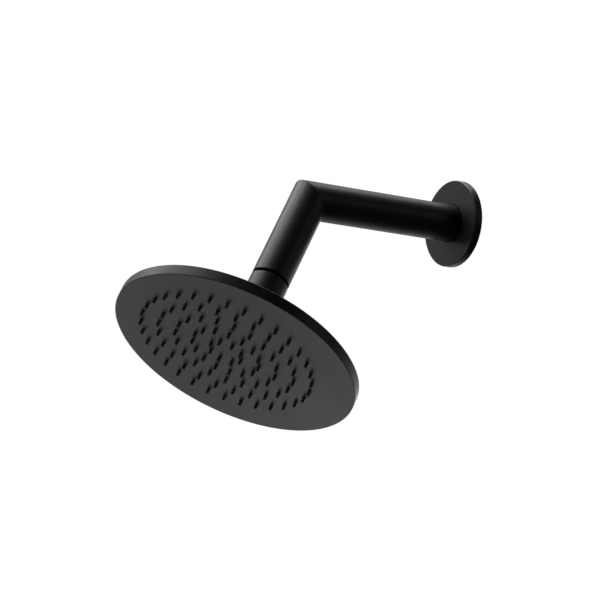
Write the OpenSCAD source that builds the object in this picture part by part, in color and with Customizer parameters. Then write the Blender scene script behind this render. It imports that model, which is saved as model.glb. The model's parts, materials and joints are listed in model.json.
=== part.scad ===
// Wall shower arm with a flat round rain head on a small ball swivel.
// Units are millimetres, +Z is up. The wall is the plane y = 0 and the arm leaves it along -Y.
// The origin is the centre of the inlet thread in the wall plane.

/* [Arm] */
// outside diameter of the arm and of the swivel collar below it
arm_d = 28; // [26:1:34]
// wall thickness of the two arm tubes
arm_wall = 2; // [1.5:0.1:2.2]
// distance from the wall to the corner of the mitred bend
wall_run = 132; // [90:1:260]
// angle of the drop leg below the horizontal
drop_angle = 61; // [45:1:75]
// distance from the bend corner down to the spray face
drop_run = 139.5; // [134:0.5:200]
// width of the open groove between arm and collar
groove_gap = 2.2; // [2.0:0.1:3]
// distance from the lower rim of the arm to the spray face
collar_reach = 66.5; // [62:0.5:72]

/* [Wall flange] */
// outside diameter of the wall flange
flange_d = 65; // [58:1:90]
// thickness of the wall flange
flange_t = 5.8; // [5.4:0.1:9]
// radial gap between flange bore and arm
flange_slack = 0.3; // [0.2:0.05:0.6]

/* [Inlet] */
// major diameter of the parallel pipe thread, half inch or three eighths
thread_d = 20.955; // [16.662, 20.955]
// length of thread that stands out behind the wall plane
thread_run = 15; // [10:1:30]
// diameter of the water bore in the inlet
inlet_bore_d = 13; // [8:0.5:15]

/* [Ball swivel] */
// diameter of the swivel ball
ball_d = 19; // [19:0.5:19.5]
// radial running clearance of the ball in its liners
ball_slack = 0.05; // [0.03:0.01:0.08]
// thickness of the two ball liners
liner_t = 0.9; // [0.7:0.1:0.9]
// height of the collar rim above the ball centre
rim_height = 9.5; // [9.5:0.1:10.5]

/* [Spray head] */
// diameter of the head
head_d = 180; // [178:1:260]
// thickness of the head at its edge
head_t = 8; // [8:0.5:12]
// thickness of the front wall
face_t = 1.6; // [1.2:0.1:1.8]
// number of screws in the back plate
screw_count = 8; // [4:1:12]

/* [Nozzles] */
// pitch circle radius of the innermost ring of nozzles
first_ring_r = 12; // [11:0.5:12.5]
// spacing from ring to ring
ring_step = 13; // [11.5:0.5:13]
// nozzles in each ring, from the innermost outwards
ring_counts = [8, 15, 19, 24, 32];
// distance of the nozzle field from the axis of the head, away from the wall
field_offset = 5.2; // [0:0.2:7]
// distance of the nozzle field from the axis of the head, to the left seen from the front
field_side = 2.8; // [0:0.2:4]
// turn of the nozzle rings about their own centre
field_turn = 11; // [0:1:45]
// outside diameter of a nozzle
nozzle_d = 2.3; // [2:0.1:2.8]
// length that a nozzle stands out from the face
nozzle_run = 3.8; // [1:0.1:5]
// diameter of the jet hole in a nozzle
jet_d = 0.6; // [0.6:0.1:1.2]

/* [Hidden] */
$fn = 96;
small_fn = 24;
nudge = 0.02;
over = 0.5;
arm_r = arm_d / 2;
arm_bore_r = arm_r - arm_wall;
thread_r = thread_d / 2;
// small bevels on the visible edges
edge = 0.3;
// levels behind the arm, measured out of the wall
thread_foot = 0;
wash_foot = 0.3;
tube_foot = 1;
plug_run = 20;
// positions along the drop leg, measured from the bend corner
arm_end = drop_run - collar_reach;
ball_at = arm_end + groove_gap + rim_height;
// the ball and everything concentric with it
ball_r = ball_d / 2;
liner_in_r = ball_r + ball_slack;
liner_out_r = liner_in_r + liner_t;
cage_r = liner_out_r + ball_slack;
liner_edge = 6.1;
liner_gap = 1.8;
neck_r = 5;
stud_bore_r = 3;
shank_r = 7;
rim_bore_r = 7.4;
// the threaded shank of the ball stud, measured up from the ball centre
arm_rim = rim_height + groove_gap;
hex_z = arm_rim + 0.4;
hex_t = 2.6;
hex_r = 9;
hex_pocket_r = 9.3;
shank_z = hex_z + hex_t;
shank_run = 14;
shank_top = shank_z + shank_run;
bush_run = 20;
screen_t = 0.8;
// the ball retainer, measured down from the ball centre
cage_skirt = 3;
retainer_bottom = 14;
seal_out_r = 6.1;
seal_in_r = 4.6;
seal_seat_r = 6.75;
seal_step = 9;
seal_bottom = 10.8;
// the collar thread and the spigot of the back plate
collar_bore_r = arm_bore_r;
collar_run = ball_at - drop_run + head_t;
spigot_top = 30;
spigot_bore_r = 6;
spigot_cup_r = 8.1;
restrictor_t = 2;
// levels in the head, measured back from the spray face
head_r = head_d / 2;
pan_wall = 2.4;
ledge_w = 8.6;
mat_t = 1.2;
clamp_t = 1.2;
mat_z = face_t;
clamp_z = mat_z + mat_t;
clamp_top = clamp_z + clamp_t;
ledge_z = clamp_top + 1.5;
plate_t = 1.5;
plate_z = head_t - plate_t;
lid_r = head_r - pan_wall - 0.1;
ledge_r = head_r - pan_wall - ledge_w;
rib_w = 3;
screw_r = 1.25;
screw_head_r = 2.8;
screw_head_t = 1.3;
screw_at = ledge_r + 5.6;
screw_end = face_t + 1;
perimeter_r = ledge_r + 1.9;

// +Z of the children points out of the wall
module from_wall(z = 0) {
    rotate([90, 0, 0])
        translate([0, 0, z])
            children();
}

// +Z of the children points up the drop leg, from a point that far below the bend corner
module on_drop(s) {
    translate([0, -wall_run, 0])
        rotate([drop_angle - 90, 0, 0])
            translate([0, 0, -s])
                children();
}

// a ring of rectangular section
module ring(r_out, r_in, z0, z1) {
    rotate_extrude()
        polygon([[r_in, z0], [r_out, z0], [r_out, z1], [r_in, z1]]);
}

module o_ring(r, section_r) {
    rotate_extrude()
        translate([r, 0])
            circle(r = section_r, $fn = 48);
}

// the half space beyond the mitre plane of the bend, on the drop side
module beyond_mitre() {
    size = 4 * wall_run;
    translate([0, -wall_run, 0])
        rotate([drop_angle / 2, 0, 0])
            translate([-size / 2, -size, -size / 2])
                cube(size);
}

// children repeated at every nozzle of the field
module at_nozzles() {
    translate([-field_side, -field_offset, 0])
        rotate([0, 0, -field_turn])
            for (k = [0:len(ring_counts) - 1])
                for (i = [0:ring_counts[k] - 1])
                    rotate([0, 0, i * 360 / ring_counts[k]])
                        translate([0, -first_ring_r - k * ring_step, 0])
                            children();
}

module at_screws() {
    for (i = [0:screw_count - 1])
        rotate([0, 0, (i + 0.5) * 360 / screw_count])
            translate([screw_at, 0, 0])
                children();
}

// ring with a gasket groove and a hollow back, its bore grooved for the grip ring
module wall_flange() {
    r = flange_d / 2;
    bore_r = arm_r + flange_slack;
    hub_r = arm_r + 5;
    web_z = flange_t - 2.2;
    rim_r = r - 7;
    color([0.05, 0.05, 0.05])
        from_wall()
            rotate_extrude()
                polygon([
                    [bore_r, 0.6], [hub_r, 0.6], [hub_r, web_z], [rim_r, web_z], [rim_r, 0],
                    [rim_r + 1, 0], [rim_r + 1, 1.4], [r - 2.6, 1.4], [r - 2.6, 0], [r - edge, 0],
                    [r, edge], [r, flange_t - 2 * edge], [r - 2 * edge, flange_t],
                    [bore_r + edge, flange_t], [bore_r, flange_t - edge],
                    [bore_r, 4.2], [arm_r + 2, 4.2], [arm_r + 2, 2], [bore_r, 2]
                ]);
}

module wall_gasket() {
    r = flange_d / 2;
    color([0.12, 0.12, 0.12])
        from_wall()
            ring(r - 2.65, r - 5.95, 0, 1.38);
}

// rubber ring that grips the arm and holds the flange against the wall
module flange_o_ring() {
    section_r = 0.92;
    color([0.1, 0.1, 0.1])
        from_wall(3.1)
            o_ring(arm_r + 0.03 + section_r, section_r);
}

// threaded tail and the plug that is brazed into the arm
module inlet_nipple() {
    plug_r = arm_bore_r - nudge;
    undercut_r = thread_r - 1.2;
    color([0.78, 0.6, 0.3])
        from_wall()
            difference() {
                rotate_extrude()
                    polygon([
                        [0, -thread_run], [thread_r, -thread_run], [thread_r, thread_foot],
                        [undercut_r, thread_foot], [undercut_r, tube_foot], [plug_r, tube_foot],
                        [plug_r, plug_run], [0, plug_run]
                    ]);
                translate([0, 0, -thread_run - over])
                    cylinder(d = inlet_bore_d, h = thread_run + plug_run + 2 * over);
            }
}

module inlet_washer() {
    color([0.3, 0.3, 0.3])
        from_wall()
            ring(arm_r, thread_r + nudge, wash_foot, tube_foot - nudge);
}

// horizontal leg, mitred at the bend
module arm_wall_tube() {
    color([0.05, 0.05, 0.05])
        difference() {
            from_wall()
                ring(arm_r, arm_bore_r, tube_foot, wall_run + arm_d);
            beyond_mitre();
        }
}

// drop leg, mitred at the bend
module arm_drop_tube() {
    color([0.05, 0.05, 0.05])
        intersection() {
            on_drop(arm_end)
                rotate_extrude()
                    polygon([
                        [arm_bore_r, 0], [arm_r - edge, 0], [arm_r, edge],
                        [arm_r, arm_end + arm_d], [arm_bore_r, arm_end + arm_d]
                    ]);
            beyond_mitre();
        }
}

// threaded plug brazed into the lower end of the arm
module outlet_bush() {
    bush_r = arm_bore_r - nudge;
    thread = shank_r + nudge;
    color([0.78, 0.6, 0.3])
        on_drop(ball_at)
            translate([0, 0, arm_rim])
                rotate_extrude()
                    polygon([
                        [hex_pocket_r, 0], [bush_r, 0], [bush_r, bush_run], [thread, bush_run],
                        [thread, shank_z - arm_rim], [hex_pocket_r, shank_z - arm_rim]
                    ]);
}

// strainer disc resting on top of the ball stud
module filter_screen() {
    hole_r = 0.55;
    pitch = 2;
    color([0.75, 0.75, 0.75])
        on_drop(ball_at - shank_top)
            difference() {
                cylinder(r = shank_r - 0.1, h = screen_t);
                for (k = [0:2])
                    for (i = [0:max(0, 6 * k - 1)])
                        rotate([0, 0, i * 60 / max(1, k)])
                            translate([k * pitch, 0, -over])
                                cylinder(r = hole_r, h = screen_t + 2 * over, $fn = small_fn);
            }
}

// hollow ball, neck, spanner hexagon and threaded shank in one piece
module ball_stud() {
    groove_z = shank_z + 1.5;
    color([0.8, 0.8, 0.82])
        on_drop(ball_at)
            difference() {
                union() {
                    sphere(r = ball_r);
                    cylinder(r = neck_r, h = hex_z + over);
                    translate([0, 0, hex_z])
                        cylinder(r = hex_r, h = hex_t, $fn = 6);
                    translate([0, 0, shank_z - over])
                        cylinder(r = shank_r, h = shank_run + over);
                }
                translate([0, 0, groove_z])
                    ring(shank_r + over, 5.4, 0, 2.2);
                translate([0, 0, -ball_d])
                    cylinder(r = stud_bore_r, h = shank_top + 2 * ball_d);
            }
}

module stud_o_ring() {
    color([0.1, 0.1, 0.1])
        on_drop(ball_at - shank_z - 2.6)
            o_ring(6.2, 0.78);
}

// slice of a hollow sphere between two levels
module liner(z0, z1) {
    difference() {
        intersection() {
            sphere(r = liner_out_r);
            translate([0, 0, z0])
                cylinder(r = 2 * ball_d, h = z1 - z0);
        }
        sphere(r = liner_in_r);
    }
}

module upper_ball_liner() {
    color([0.9, 0.9, 0.86])
        on_drop(ball_at)
            liner(liner_gap, liner_edge);
}

module lower_ball_liner() {
    color([0.9, 0.9, 0.86])
        on_drop(ball_at)
            liner(-liner_edge, -liner_gap);
}

// rubber ring pressed up against the ball, which keeps the water in
module ball_seal() {
    color([0.15, 0.15, 0.15])
        on_drop(ball_at)
            difference() {
                ring(seal_out_r, seal_in_r, -seal_bottom, -ball_r / 2);
                sphere(r = liner_in_r);
            }
}

// ring screwed up inside the collar, with the lower half of the ball cage
module ball_retainer() {
    slot_w = 2.5;
    color([0.78, 0.6, 0.3])
        on_drop(ball_at)
            difference() {
                rotate_extrude()
                    polygon([
                        [seal_in_r, -retainer_bottom], [collar_bore_r - nudge, -retainer_bottom],
                        [collar_bore_r - nudge, -cage_skirt - nudge], [seal_seat_r, -cage_skirt - nudge],
                        [seal_seat_r, -seal_step], [seal_out_r + nudge, -seal_step],
                        [seal_out_r + nudge, -seal_bottom], [seal_in_r, -seal_bottom]
                    ]);
                sphere(r = cage_r);
                translate([-arm_r, -slot_w / 2, -retainer_bottom - over])
                    cube([arm_d, slot_w, 1.5 + over]);
            }
}

// outer sleeve with the upper half of the ball cage, screwed on to the back plate
module swivel_collar() {
    color([0.05, 0.05, 0.05])
        on_drop(ball_at)
            difference() {
                rotate_extrude()
                    polygon([
                        [0, collar_run], [arm_r, collar_run], [arm_r, rim_height - edge],
                        [arm_r - edge, rim_height], [0, rim_height]
                    ]);
                rotate_extrude()
                    polygon([
                        [0, 0], [rim_bore_r, 0], [rim_bore_r, rim_height - 1],
                        [rim_bore_r + 1, rim_height], [rim_bore_r + 1, rim_height + over],
                        [0, rim_height + over]
                    ]);
                sphere(r = cage_r);
                translate([0, 0, -cage_skirt - over])
                    cylinder(r = cage_r, h = cage_skirt + over);
                translate([0, 0, collar_run - over])
                    cylinder(r = collar_bore_r, h = -collar_run - cage_skirt + over);
            }
}

module spigot_o_ring() {
    color([0.1, 0.1, 0.1])
        on_drop(drop_run - spigot_top + 4.8)
            o_ring(collar_bore_r - 0.8, 0.78);
}

// disc with a small centre orifice and four side holes
module flow_restrictor() {
    color([0.85, 0.3, 0.25])
        on_drop(drop_run - spigot_top + 3)
            difference() {
                cylinder(r = spigot_cup_r - 0.1, h = restrictor_t);
                translate([0, 0, -over])
                    cylinder(r = 1.5, h = restrictor_t + 2 * over, $fn = small_fn);
                for (i = [0:3])
                    rotate([0, 0, i * 90])
                        translate([4, 0, -over])
                            cylinder(r = 0.8, h = restrictor_t + 2 * over, $fn = small_fn);
            }
}

// lid of the head with the threaded spigot that carries the collar
module head_back_plate() {
    groove_z = spigot_top - 6;
    color([0.05, 0.05, 0.05])
        on_drop(drop_run)
            difference() {
                rotate_extrude()
                    polygon([
                        [spigot_bore_r, plate_z], [ledge_r - rib_w, plate_z],
                        [ledge_r - rib_w, clamp_top], [ledge_r - 0.3, clamp_top],
                        [ledge_r - 0.3, ledge_z], [lid_r, ledge_z], [lid_r, head_t],
                        [collar_bore_r - nudge, head_t], [collar_bore_r - nudge, groove_z],
                        [collar_bore_r - 1.6, groove_z], [collar_bore_r - 1.6, groove_z + 2.4],
                        [collar_bore_r - nudge, groove_z + 2.4], [collar_bore_r - nudge, spigot_top],
                        [spigot_cup_r, spigot_top], [spigot_cup_r, spigot_top - 3],
                        [spigot_bore_r, spigot_top - 3]
                    ]);
                at_screws() {
                    translate([0, 0, ledge_z - over])
                        cylinder(r = screw_r + 0.25, h = head_t, $fn = small_fn);
                    translate([0, 0, head_t - screw_head_t])
                        cylinder(r1 = screw_r, r2 = screw_head_r + 0.1, h = screw_head_t + nudge, $fn = 48);
                }
            }
}

// countersunk screws with a hexagon socket
module back_plate_screws() {
    color([0.1, 0.1, 0.1])
        on_drop(drop_run)
            at_screws()
                difference() {
                    union() {
                        translate([0, 0, screw_end])
                            cylinder(r = screw_r - nudge, h = head_t - screw_end - over, $fn = 48);
                        translate([0, 0, head_t - screw_head_t])
                            cylinder(r1 = screw_r - nudge, r2 = screw_head_r, h = screw_head_t, $fn = 48);
                    }
                    translate([0, 0, head_t - 1])
                        cylinder(r = 1.15, h = 2, $fn = 6);
                }
}

module perimeter_seal() {
    color([0.15, 0.15, 0.15])
        on_drop(drop_run - ledge_z + 0.62)
            o_ring(perimeter_r, 0.6);
}

// small plate on four posts that spreads the water sideways
module inlet_diffuser() {
    color([0.6, 0.6, 0.6])
        on_drop(drop_run - clamp_top - 0.5)
            union() {
                cylinder(r = 14, h = 0.8);
                for (i = [0:3])
                    rotate([0, 0, i * 90 + 45])
                        translate([11, 0, 0])
                            cylinder(r = 1.2, h = plate_z - clamp_top - 0.5 - nudge, $fn = small_fn);
            }
}

// stiff plate that presses the nozzle mat on to the front wall
module mat_clamp_plate() {
    color([0.6, 0.6, 0.6])
        on_drop(drop_run - clamp_z)
            difference() {
                cylinder(r = ledge_r - 0.3, h = clamp_t - nudge);
                at_nozzles()
                    translate([0, 0, -over])
                        cylinder(r = 1.6, h = clamp_t + 2 * over, $fn = small_fn);
            }
}

// rubber mat with one hollow nozzle for each hole of the front wall
module nozzle_mat() {
    taper = 0.4;
    color([0.3, 0.3, 0.3])
        on_drop(drop_run)
            difference() {
                union() {
                    translate([0, 0, mat_z + nudge])
                        cylinder(r = ledge_r - 0.2, h = mat_t - 2 * nudge);
                    at_nozzles()
                        translate([0, 0, -nozzle_run]) {
                            cylinder(r1 = nozzle_d / 2 - taper, r2 = nozzle_d / 2, h = taper, $fn = small_fn);
                            translate([0, 0, taper])
                                cylinder(d = nozzle_d, h = nozzle_run + mat_z + mat_t / 2, $fn = small_fn);
                        }
                }
                at_nozzles() {
                    translate([0, 0, -nozzle_run - over])
                        cylinder(d = jet_d, h = nozzle_run + clamp_z + 2 * over, $fn = small_fn);
                    translate([0, 0, mat_z - 1])
                        cylinder(d = jet_d + 0.8, h = mat_t + 2, $fn = small_fn);
                }
            }
}

// front wall and rim of the head in one piece, with a ledge for seal and screws
module face_pan() {
    hole_r = nozzle_d / 2 + 0.4;
    color([0.07, 0.07, 0.07])
        on_drop(drop_run)
            difference() {
                rotate_extrude()
                    polygon([
                        [0, 0], [head_r - edge, 0], [head_r, edge], [head_r, head_t - edge],
                        [head_r - edge, head_t], [head_r - pan_wall, head_t],
                        [head_r - pan_wall, ledge_z], [perimeter_r + 0.8, ledge_z],
                        [perimeter_r + 0.8, ledge_z - 1.3], [perimeter_r - 0.8, ledge_z - 1.3],
                        [perimeter_r - 0.8, ledge_z], [ledge_r, ledge_z], [ledge_r, face_t], [0, face_t]
                    ]);
                at_nozzles()
                    translate([0, 0, -over])
                        cylinder(r = hole_r, h = face_t + 2 * over, $fn = small_fn);
                at_screws()
                    translate([0, 0, screw_end - 0.2])
                        cylinder(r = screw_r, h = head_t, $fn = 48);
            }
}

wall_flange();
wall_gasket();
flange_o_ring();
inlet_nipple();
inlet_washer();
arm_wall_tube();
arm_drop_tube();
outlet_bush();
filter_screen();
ball_stud();
stud_o_ring();
upper_ball_liner();
lower_ball_liner();
ball_seal();
ball_retainer();
swivel_collar();
spigot_o_ring();
flow_restrictor();
head_back_plate();
back_plate_screws();
perimeter_seal();
inlet_diffuser();
mat_clamp_plate();
nozzle_mat();
face_pan();
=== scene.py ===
# Wall shower arm with a flat round rain head: looks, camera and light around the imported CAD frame.
# Lengths are metres, +Z is up. The wall is the plane y = 0 and the arm leaves it along -Y.
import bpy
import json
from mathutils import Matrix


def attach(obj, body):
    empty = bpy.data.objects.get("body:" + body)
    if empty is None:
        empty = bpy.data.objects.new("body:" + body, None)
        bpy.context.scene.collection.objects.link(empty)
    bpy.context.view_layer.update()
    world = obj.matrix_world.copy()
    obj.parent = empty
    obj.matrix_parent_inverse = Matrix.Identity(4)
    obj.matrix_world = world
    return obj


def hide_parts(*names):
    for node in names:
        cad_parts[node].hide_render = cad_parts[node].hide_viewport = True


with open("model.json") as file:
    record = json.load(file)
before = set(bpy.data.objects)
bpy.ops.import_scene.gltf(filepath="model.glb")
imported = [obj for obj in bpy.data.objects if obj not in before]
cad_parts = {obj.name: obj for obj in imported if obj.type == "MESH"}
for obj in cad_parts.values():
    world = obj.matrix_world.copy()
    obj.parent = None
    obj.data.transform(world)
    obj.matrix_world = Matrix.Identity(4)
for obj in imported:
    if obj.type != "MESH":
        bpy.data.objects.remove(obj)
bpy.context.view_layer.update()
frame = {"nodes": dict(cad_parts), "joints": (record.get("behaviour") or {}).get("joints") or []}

import json
import math

import bmesh
import bpy
from mathutils import Matrix, Vector

MM = 0.001
nodes = frame["nodes"]
joints = {j["name"]: j for j in frame["joints"]}
scene = bpy.context.scene


# ---------------------------------------------------------------- camera

CAMERA_AZIMUTH, CAMERA_ELEVATION, CAMERA_ROLL = 56.376, -15.404, -2.2     # degrees
CAMERA_AIM = Vector((-0.02263, -0.12795, -0.06829))
CAMERA_DISTANCE, CAMERA_ANGLE = 1.762, 14
SENSOR_WIDTH = 36     # millimetres, as Blender wants it


def towards(azimuth, elevation):
    """Unit vector in a direction given in degrees. Azimuth 0 is straight out from the wall and
    grows to the right; elevation grows upwards."""
    a, e = math.radians(azimuth), math.radians(elevation)
    return Vector((math.sin(a) * math.cos(e), -math.cos(a) * math.cos(e), math.sin(e)))


def add_camera():
    """The camera stands low on the right of the arm and looks up at it."""
    back = towards(CAMERA_AZIMUTH, CAMERA_ELEVATION)
    level = towards(CAMERA_AZIMUTH + 90, 0)
    plumb = back.cross(level)
    roll = math.radians(CAMERA_ROLL)
    right = level * math.cos(roll) + plumb * math.sin(roll)
    up = plumb * math.cos(roll) - level * math.sin(roll)
    data = bpy.data.cameras.new("camera")
    data.sensor_width = SENSOR_WIDTH
    data.lens = SENSOR_WIDTH / 2 / math.tan(math.radians(CAMERA_ANGLE) / 2)
    data.clip_start, data.clip_end = 0.05, 50
    camera = bpy.data.objects.new("camera", data)
    turn = Matrix((right, up, back)).transposed().to_4x4()
    camera.matrix_world = Matrix.Translation(CAMERA_AIM + back * CAMERA_DISTANCE) @ turn
    scene.collection.objects.link(camera)
    scene.camera = camera


add_camera()


# ---------------------------------------------------------------- node helpers

class Tree:
    """A short way to add nodes to a material and link them."""

    def __init__(self, material):
        material.use_nodes = True
        self.tree = material.node_tree
        self.tree.nodes.clear()
        self.shader = self.add("ShaderNodeBsdfPrincipled")
        out = self.add("ShaderNodeOutputMaterial")
        self.link(self.shader.outputs["BSDF"], out.inputs["Surface"])
        self.place = self.add("ShaderNodeTexCoord").outputs["Object"]

    def add(self, kind, **values):
        node = self.tree.nodes.new(kind)
        for key, value in values.items():
            setattr(node, key, value)
        return node

    def link(self, out, socket):
        self.tree.links.new(out, socket)

    def noise(self, size, detail=2.0, roughness=0.5, stretch=None):
        """Noise from 0 to 1 whose grains are about size metres across."""
        node = self.add("ShaderNodeTexNoise")
        node.inputs["Scale"].default_value = 1 / size
        node.inputs["Detail"].default_value = detail
        node.inputs["Roughness"].default_value = roughness
        place = self.place
        if stretch:
            mapping = self.add("ShaderNodeMapping")
            mapping.inputs["Scale"].default_value = stretch
            self.link(place, mapping.inputs["Vector"])
            place = mapping.outputs["Vector"]
        self.link(place, node.inputs["Vector"])
        return node.outputs["Fac"]

    def span(self, value, low, high, start=0.0, end=1.0):
        """value mapped from start..end to low..high, and held there outside."""
        node = self.add("ShaderNodeMapRange")
        for key, number in (
            ("From Min", start), ("From Max", end), ("To Min", low), ("To Max", high)
        ):
            node.inputs[key].default_value = number
        self.link(value, node.inputs["Value"])
        return node.outputs["Result"]

    def maths(self, kind, a, b):
        """Sum, product or larger of two values; each is a socket or a number."""
        node = self.add("ShaderNodeMath", operation=kind)
        for socket, value in zip(node.inputs, (a, b)):
            if isinstance(value, (int, float)):
                socket.default_value = value
            else:
                self.link(value, socket)
        return node.outputs[0]

    def blend(self, factor, a, b):
        """Colour a where factor is 0 and b where it is 1; each is a socket or three numbers."""
        node = self.add("ShaderNodeMix", data_type="RGBA")
        self.link(factor, node.inputs["Factor"])
        for key, value in (("A", a), ("B", b)):
            socket = [s for s in node.inputs if s.name == key and s.type == "RGBA"][0]
            if isinstance(value, tuple):
                socket.default_value = (*value, 1)
            else:
                self.link(value, socket)
        return [s for s in node.outputs if s.type == "RGBA"][0]

    def edges(self, radius):
        """1 on outer edges that are sharper than the radius, falling to 0 on plain surfaces."""
        bevel = self.add("ShaderNodeBevel", samples=6)
        bevel.inputs["Radius"].default_value = radius
        plain = self.add("ShaderNodeNewGeometry")
        dot = self.add("ShaderNodeVectorMath", operation="DOT_PRODUCT")
        self.link(bevel.outputs["Normal"], dot.inputs[0])
        self.link(plain.outputs["Normal"], dot.inputs[1])
        return self.span(dot.outputs["Value"], 1.0, 0.0, 0.80, 0.99)

    def bump(self, layers):
        """Stacked bumps: (height socket, depth in metres) from coarse to fine."""
        normal = None
        for height, depth in layers:
            node = self.add("ShaderNodeBump")
            node.inputs["Strength"].default_value = 1.0
            node.inputs["Distance"].default_value = depth
            self.link(height, node.inputs["Height"])
            if normal:
                self.link(normal, node.inputs["Normal"])
            normal = node.outputs["Normal"]
        self.link(normal, self.shader.inputs["Normal"])

    def set(self, **values):
        """Plain values on the shader's own sockets, with _ for a space in their names."""
        for key, value in values.items():
            self.shader.inputs[key.replace("_", " ")].default_value = value


# ---------------------------------------------------------------- materials

def coated(name, dark, light, worn, rough):
    """Satin coating: fine orange peel, a little dust in the tone, edges rubbed lighter."""
    material = bpy.data.materials.new(name)
    t = Tree(material)
    clouds = t.noise(40 * MM, 3)
    grain = t.noise(0.25 * MM, 2)
    peels = t.noise(0.9 * MM, 1.5)
    depth = 2.5e-6
    tone = t.maths("ADD", t.maths("MULTIPLY", clouds, 0.6), t.maths("MULTIPLY", grain, 0.4))
    colour = t.blend(t.span(tone, 0, 1, 0.3, 0.7), dark, light)
    rubbed = t.maths("MULTIPLY", t.edges(0.35 * MM), t.span(t.noise(3 * MM, 4), 0, 0.5, 0.42, 0.62))
    colour = t.blend(rubbed, colour, worn)
    t.link(colour, t.shader.inputs["Base Color"])
    t.link(t.span(tone, rough - 0.03, rough + 0.03, 0.3, 0.7), t.shader.inputs["Roughness"])
    t.bump(((peels, depth), (grain, depth * 0.15)))
    t.set(IOR=1.5)
    return material


def rubbery(name, dark, light, rough, grain_size=0.4 * MM, depth=2e-6, specular=0.5):
    """Moulded rubber: matt, a little bloom on it."""
    material = bpy.data.materials.new(name)
    t = Tree(material)
    bloom = t.noise(6 * MM, 4, 0.6)
    grain = t.noise(grain_size, 3)
    colour = t.blend(t.span(bloom, 0, 1, 0.35, 0.7), dark, light)
    t.link(colour, t.shader.inputs["Base Color"])
    t.link(t.span(bloom, rough - 0.05, rough + 0.06, 0.3, 0.7), t.shader.inputs["Roughness"])
    t.bump(((grain, depth),))
    t.set(IOR=1.48, Specular_IOR_Level=specular)
    return material


def metallic(name, clean, tarnish, rough, stretch, depth=1.5e-6):
    """Bare metal with turning marks and patchy tarnish."""
    material = bpy.data.materials.new(name)
    t = Tree(material)
    patches = t.noise(5 * MM, 4, 0.6)
    marks = t.noise(0.3 * MM, 2, 0.5, stretch)
    mask = t.span(patches, 0, 0.5, 0.45, 0.7)
    t.link(t.blend(mask, clean, tarnish), t.shader.inputs["Base Color"])
    both = t.maths("ADD", t.maths("MULTIPLY", marks, 0.5), t.maths("MULTIPLY", patches, 0.5))
    t.link(t.span(both, rough * 0.75, rough * 1.4, 0.3, 0.7), t.shader.inputs["Roughness"])
    t.bump(((marks, depth),))
    t.set(Metallic=1.0)
    return material


def moulded(name, colour, shade, rough):
    """Moulded plastic with a faint flow pattern."""
    material = bpy.data.materials.new(name)
    t = Tree(material)
    flow = t.noise(8 * MM, 3, 0.5)
    grain = t.noise(0.3 * MM, 2)
    t.link(t.blend(t.span(flow, 0, 1, 0.35, 0.65), colour, shade), t.shader.inputs["Base Color"])
    t.link(t.span(grain, rough - 0.05, rough + 0.05, 0.3, 0.7), t.shader.inputs["Roughness"])
    t.bump(((grain, 2e-6),))
    return material


def woven(name):
    """Fine steel gauze: two sets of wires that pass over and under each other, with painted shade near
    black in the low gaps between the wires.
    """
    material = bpy.data.materials.new(name)
    t = Tree(material)
    bands = []
    for turn in (0, math.pi / 2):
        mapping = t.add("ShaderNodeMapping")
        mapping.inputs["Rotation"].default_value = (math.radians(-28), 0, turn)
        t.link(t.place, mapping.inputs["Vector"])
        wave = t.add("ShaderNodeTexWave")
        wave.inputs["Scale"].default_value = 400
        t.link(mapping.outputs["Vector"], wave.inputs["Vector"])
        bands.append(wave.outputs["Fac"])
    height = t.maths("MAXIMUM", *bands)
    # Painted shade: the colour falls from light steel on the wire crests to near black in the low gaps
    # and openings between them.
    t.link(t.blend(height, (0.12, 0.12, 0.12), (0.7, 0.7, 0.71)), t.shader.inputs["Base Color"])
    t.link(t.span(height, 0.6, 0.28), t.shader.inputs["Roughness"])
    t.bump(((height, 8e-5),))
    t.set(Metallic=1.0)
    return material


BLACK = (0.0035, 0.0035, 0.0036)
BLACK_LIGHT = (0.0055, 0.0055, 0.0056)
WORN = (0.009, 0.009, 0.0092)
paint = coated("satin_black_paint", BLACK, BLACK_LIGHT, WORN, 0.46)
head_paint = coated("satin_black_head", BLACK, BLACK_LIGHT, WORN, 0.42)
oxide = coated("black_oxide", (0.01, 0.01, 0.011), (0.02, 0.02, 0.02), (0.12, 0.12, 0.12), 0.3)
silicone = rubbery("nozzle_silicone", (0.19, 0.19, 0.192), (0.25, 0.25, 0.252), 0.6, specular=0.25)
rubber = rubbery("black_rubber", (0.010, 0.010, 0.010), (0.018, 0.018, 0.018), 0.55)
foam = rubbery("closed_cell_foam", (0.02, 0.02, 0.02), (0.05, 0.05, 0.05), 0.85, 0.5 * MM, 6e-5)
fibre = rubbery("pressed_fibre", (0.28, 0.07, 0.04), (0.38, 0.12, 0.07), 0.8, 0.3 * MM, 2e-5)
brass = metallic("machined_brass", (0.80, 0.60, 0.30), (0.35, 0.22, 0.10), 0.28, (1, 12, 1))
plated = metallic("black_chrome", (0.03, 0.03, 0.032), (0.018, 0.017, 0.016), 0.16, (1, 4, 1), 5e-7)
liner = moulded("white_liner", (0.80, 0.80, 0.76), (0.72, 0.72, 0.67), 0.38)
red = moulded("red_plastic", (0.55, 0.03, 0.02), (0.45, 0.02, 0.015), 0.4)
grey = moulded("grey_plastic", (0.30, 0.30, 0.31), (0.24, 0.24, 0.25), 0.45)
gauze = woven("steel_gauze")

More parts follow.
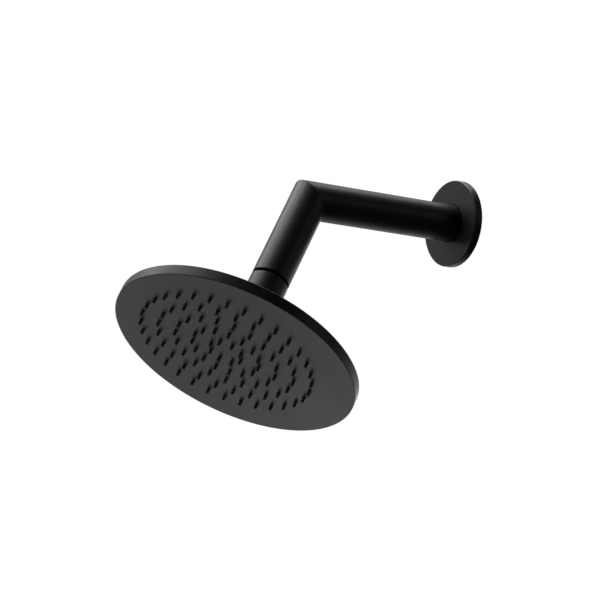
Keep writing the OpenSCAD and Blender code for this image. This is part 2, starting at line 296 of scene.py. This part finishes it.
FINISH = {
    "wall_flange": paint, "arm_wall_tube": paint, "arm_drop_tube": paint, "swivel_collar": paint,
    "face_pan": head_paint, "head_back_plate": head_paint, "back_plate_screws": oxide,
    "nozzle_mat": silicone, "wall_gasket": foam, "flange_o_ring": rubber, "stud_o_ring": rubber,
    "spigot_o_ring": rubber, "perimeter_seal": rubber, "ball_seal": rubber, "inlet_washer": fibre,
    "inlet_nipple": brass, "outlet_bush": paint, "ball_retainer": brass, "ball_stud": plated,
    "upper_ball_liner": liner, "lower_ball_liner": liner, "flow_restrictor": red,
    "inlet_diffuser": grey, "mat_clamp_plate": grey, "filter_screen": gauze,
}
for name, cad in nodes.items():
    for place in cad.material_slots:
        place.material = FINISH[name]


# ---------------------------------------------------------------- meshes

SHARP_ANGLE = math.radians(35)


def add_piece(name, bm, material, body, cad_node):
    """A finished mesh that stands for a CAD node and rides its body."""
    bmesh.ops.recalc_face_normals(bm, faces=bm.faces)
    mesh = bpy.data.meshes.new(name)
    bm.to_mesh(mesh)
    bm.free()
    mesh.shade_smooth()
    mesh.set_sharp_from_angle(angle=SHARP_ANGLE)
    mesh.materials.append(material)
    piece = bpy.data.objects.new(name, mesh)
    scene.collection.objects.link(piece)
    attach(piece, body)
    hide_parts(cad_node)


def revolve(bm, rows, segments, place, closed):
    """Quads round the local Z axis. Each row is (radius or function of the turn, height).
    Returns the vertices of the first and the last row."""
    rings = []
    for radius, height in rows:
        ring = []
        for i in range(segments):
            turn = math.tau * i / segments
            r = radius(turn) if callable(radius) else radius
            at = Vector((r * math.cos(turn), r * math.sin(turn), height))
            ring.append(bm.verts.new(place @ at))
        rings.append(ring)
    pairs = list(zip(rings, rings[1:] + rings[:1])) if closed else list(zip(rings, rings[1:]))
    for lower, upper in pairs:
        for i in range(segments):
            j = (i + 1) % segments
            bm.faces.new((lower[i], lower[j], upper[j], upper[i]))
    return rings[0], rings[-1]


def threaded_tail():
    """Inlet nipple with a real half-inch thread, fourteen turns to the inch."""
    major, minor, pitch = 10.4775 * MM, 9.3155 * MM, 25.4 * MM / 14
    tip, bore = 15 * MM, 6.5 * MM
    root = minor - 0.15 * MM
    rows_per_turn = 14
    count = round(tip / pitch * rows_per_turn)

    def crest(height):
        """Largest radius at a height: a lead-in cone at the tip and a run-out at the foot."""
        return min(major, root + (tip - height) * 0.9, minor + height * 1.6)

    def helix(height):
        """Radius round the turn at a height: flanks cut flat at crest and root."""
        def radius(turn):
            phase = (height / pitch - turn / math.tau) % 1.0
            flank = min(1.0, max(0.0, 0.5 + (abs(2 * phase - 1) - 0.5) * 1.45))
            return max(min(minor + (major - minor) * flank, crest(height)), root)
        return radius

    rows = [(bore, tip - 0.5 * MM), (bore + 0.5 * MM, tip)]
    for i in range(count + 1):
        height = tip - i * tip / count
        rows.append((helix(height), height))
    plug, end = 11.98 * MM, -20 * MM
    rows += [
        (minor - 0.05 * MM, -0.2 * MM), (minor - 0.05 * MM, -1 * MM), (plug - 0.2 * MM, -1 * MM),
        (plug, -1.2 * MM), (plug, end + 0.6 * MM), (plug - 0.6 * MM, end),
        (bore + 0.4 * MM, end), (bore, end + 0.4 * MM),
    ]
    bm = bmesh.new()
    into_wall = Matrix.Rotation(math.radians(-90), 4, "X")
    revolve(bm, rows, 120, into_wall, closed=True)
    add_piece("inlet_thread_tail", bm, brass, "wall_arm", "inlet_nipple")


FACE_BELOW_BALL = 54.8 * MM
RING_COUNTS = (8, 15, 19, 24, 32)
FIRST_RING, RING_STEP = 12 * MM, 13 * MM
FIELD_CENTRE, FIELD_TURN = (-2.8 * MM, -5.2 * MM, 0), math.radians(11)     # off the head's axis
NOZZLE_R, NOZZLE_RUN, NOZZLE_CURVE, JET_R = 1.15 * MM, 3.8 * MM, 0.5 * MM, 0.3 * MM
MAT_LOW, MAT_HIGH, MAT_R = 1.62 * MM, 2.78 * MM, 78.8 * MM


def face_matrix():
    """Local frame of the spray face: origin on the axis of the head, +Z up the drop leg."""
    spin = joints["head_spin"]
    up = Vector(spin["axis"]).normalized()
    across = Vector((1, 0, 0))
    turn = Matrix((across, up.cross(across), up)).transposed().to_4x4()
    return Matrix.Translation(Vector(spin["pos_m"]) - up * FACE_BELOW_BALL) @ turn


def nozzle_places():
    """Centres of the nozzles in the plane of the spray face."""
    field = Matrix.Translation(FIELD_CENTRE) @ Matrix.Rotation(-FIELD_TURN, 4, "Z")
    for k, count in enumerate(RING_COUNTS):
        for i in range(count):
            turn = Matrix.Rotation(math.tau * i / count, 4, "Z")
            yield field @ turn @ Vector((0, -FIRST_RING - k * RING_STEP, 0))


def cap_with_holes(bm, loops, normal):
    """Fills the flat area between an outer loop and the loops inside it."""
    edges = set()
    for loop in loops:
        for a, b in zip(loop, loop[1:] + loop[:1]):
            edges.add(bm.edges.get((a, b)) or bm.edges.new((a, b)))
    bmesh.ops.triangle_fill(bm, use_beauty=True, edges=list(edges), normal=normal)


def nozzle_profile(low, high):
    """Half section of a nozzle: root fillet, shank, rounded tip, jet, inlet. It is worked out in
    millimetres and given back in metres."""
    outer, tip, curve, jet = NOZZLE_R / MM, -NOZZLE_RUN / MM, NOZZLE_CURVE / MM, JET_R / MM
    rows = [
        (outer + 0.25, low), (outer + 0.12, low - 0.12), (outer + 0.04, low - 0.3), (outer, low - 0.5),
    ]
    for step in range(5):
        turn = math.pi / 2 * step / 4
        rows.append((outer - curve + curve * math.cos(turn), tip + curve - curve * math.sin(turn)))
    rows += [
        (outer - curve - 0.03, tip), (jet + 0.13, tip), (jet + 0.10, tip),
        (jet + 0.03, tip + 0.03), (jet, tip + 0.10), (jet, 0.4), (0.8, 0.8), (0.8, high),
    ]
    return [(radius * MM, height * MM) for radius, height in rows]


def nozzle_mat():
    """Rubber mat with one hollow nozzle for each hole of the front wall."""
    face = face_matrix()
    profile = nozzle_profile(MAT_LOW / MM, MAT_HIGH / MM)
    bm = bmesh.new()
    low_rim, high_rim = revolve(bm, [(MAT_R, MAT_LOW), (MAT_R, MAT_HIGH)], 128, face, closed=False)
    low_loops, high_loops = [low_rim], [high_rim]
    for centre in nozzle_places():
        first, last = revolve(bm, profile, 24, face @ Matrix.Translation(centre), closed=False)
        low_loops.append(first)
        high_loops.append(last)
    up = face.to_3x3() @ Vector((0, 0, 1))
    cap_with_holes(bm, low_loops, -up)
    cap_with_holes(bm, high_loops, up)
    add_piece("nozzle_mat_moulded", bm, silicone, "spray_head", "nozzle_mat")


threaded_tail()
nozzle_mat()


# ---------------------------------------------------------------- stage and light

FLOOR_R, FLOOR_HEIGHT, FLOOR_GLOW = 60, -2.2, 0.86
LIGHT_AIM = Vector((0, -0.12, -0.05))
LIGHT_DISTANCE, LIGHT_SIZE = 1.6, 0.75


def add_floor():
    """Wide pale floor far below, seen only when the camera looks down."""
    bm = bmesh.new()
    bmesh.ops.create_circle(bm, cap_ends=True, segments=96, radius=FLOOR_R)
    mesh = bpy.data.meshes.new("floor")
    bm.to_mesh(mesh)
    bm.free()
    floor = bpy.data.objects.new("floor", mesh)
    floor.location = (0, 0, FLOOR_HEIGHT)
    material = bpy.data.materials.new("pale_floor")
    t = Tree(material)
    colour = t.blend(t.noise(0.5, 3), (0.50, 0.50, 0.50), (0.54, 0.54, 0.54))
    t.link(colour, t.shader.inputs["Base Color"])
    t.set(Roughness=0.9, Emission_Color=(1, 1, 1, 1), Emission_Strength=FLOOR_GLOW)
    mesh.materials.append(material)
    scene.collection.objects.link(floor)
    floor.visible_glossy = False
    floor.visible_diffuse = False


def add_world(ambient):
    """White all round for the camera; a dim even fill for everything else."""
    world = bpy.data.worlds.new("studio")
    world.use_nodes = True
    tree = world.node_tree
    tree.nodes.clear()
    fill, white = (tree.nodes.new("ShaderNodeBackground") for _ in range(2))
    fill.inputs["Color"].default_value = (1, 1, 1, 1)
    fill.inputs["Strength"].default_value = ambient
    white.inputs["Color"].default_value = (1, 1, 1, 1)
    white.inputs["Strength"].default_value = 1.0
    rays = tree.nodes.new("ShaderNodeLightPath")
    mix = tree.nodes.new("ShaderNodeMixShader")
    out = tree.nodes.new("ShaderNodeOutputWorld")
    tree.links.new(rays.outputs["Is Camera Ray"], mix.inputs["Fac"])
    tree.links.new(fill.outputs[0], mix.inputs[1])
    tree.links.new(white.outputs[0], mix.inputs[2])
    tree.links.new(mix.outputs[0], out.inputs["Surface"])
    scene.world = world


def add_softbox(name, azimuth, elevation, power):
    """Round soft light that faces the object and isn't seen by the camera."""
    data = bpy.data.lights.new(name, "AREA")
    data.shape = "DISK"
    data.size = LIGHT_SIZE
    data.energy = power
    light = bpy.data.objects.new(name, data)
    direction = towards(azimuth, elevation)
    light.location = LIGHT_AIM + direction * LIGHT_DISTANCE
    light.rotation_mode = "QUATERNION"
    light.rotation_quaternion = direction.to_track_quat("Z", "Y")
    light.visible_camera = False
    scene.collection.objects.link(light)


SOFTBOXES = {     # azimuth and elevation in degrees, power in watts
    "overhead": (-47, 76, 16.9),
    "overhead_behind": (175, 71, 2.9),
    "upper_left": (-67, 53, 8.3),
    "upper_front": (-11, 58, 1.6),
    "upper_behind": (-156, 56, 2.5),
    "left": (-75, 21, 2.0),
    "lower_left": (-71, -20, 3.8),
    "under_left": (-91, -31, 0.77),
    "under_left_behind": (-111, -43, 2.0),
    "behind": (180, 14, 1.2),
    "behind_level": (-168, -2, 0.8),
    "behind_left": (-148, 8, 1.9),
    "behind_left_level": (-135, -8, 2.0),
    "behind_left_lower": (-143, -35, 0.55),
    "behind_right": (128, 10, 0.46),
}
AMBIENT = 0.03

add_floor()
add_world(AMBIENT)
for name, (azimuth, elevation, power) in SOFTBOXES.items():
    add_softbox(name, azimuth, elevation, power)

scene.view_settings.view_transform = "Standard"
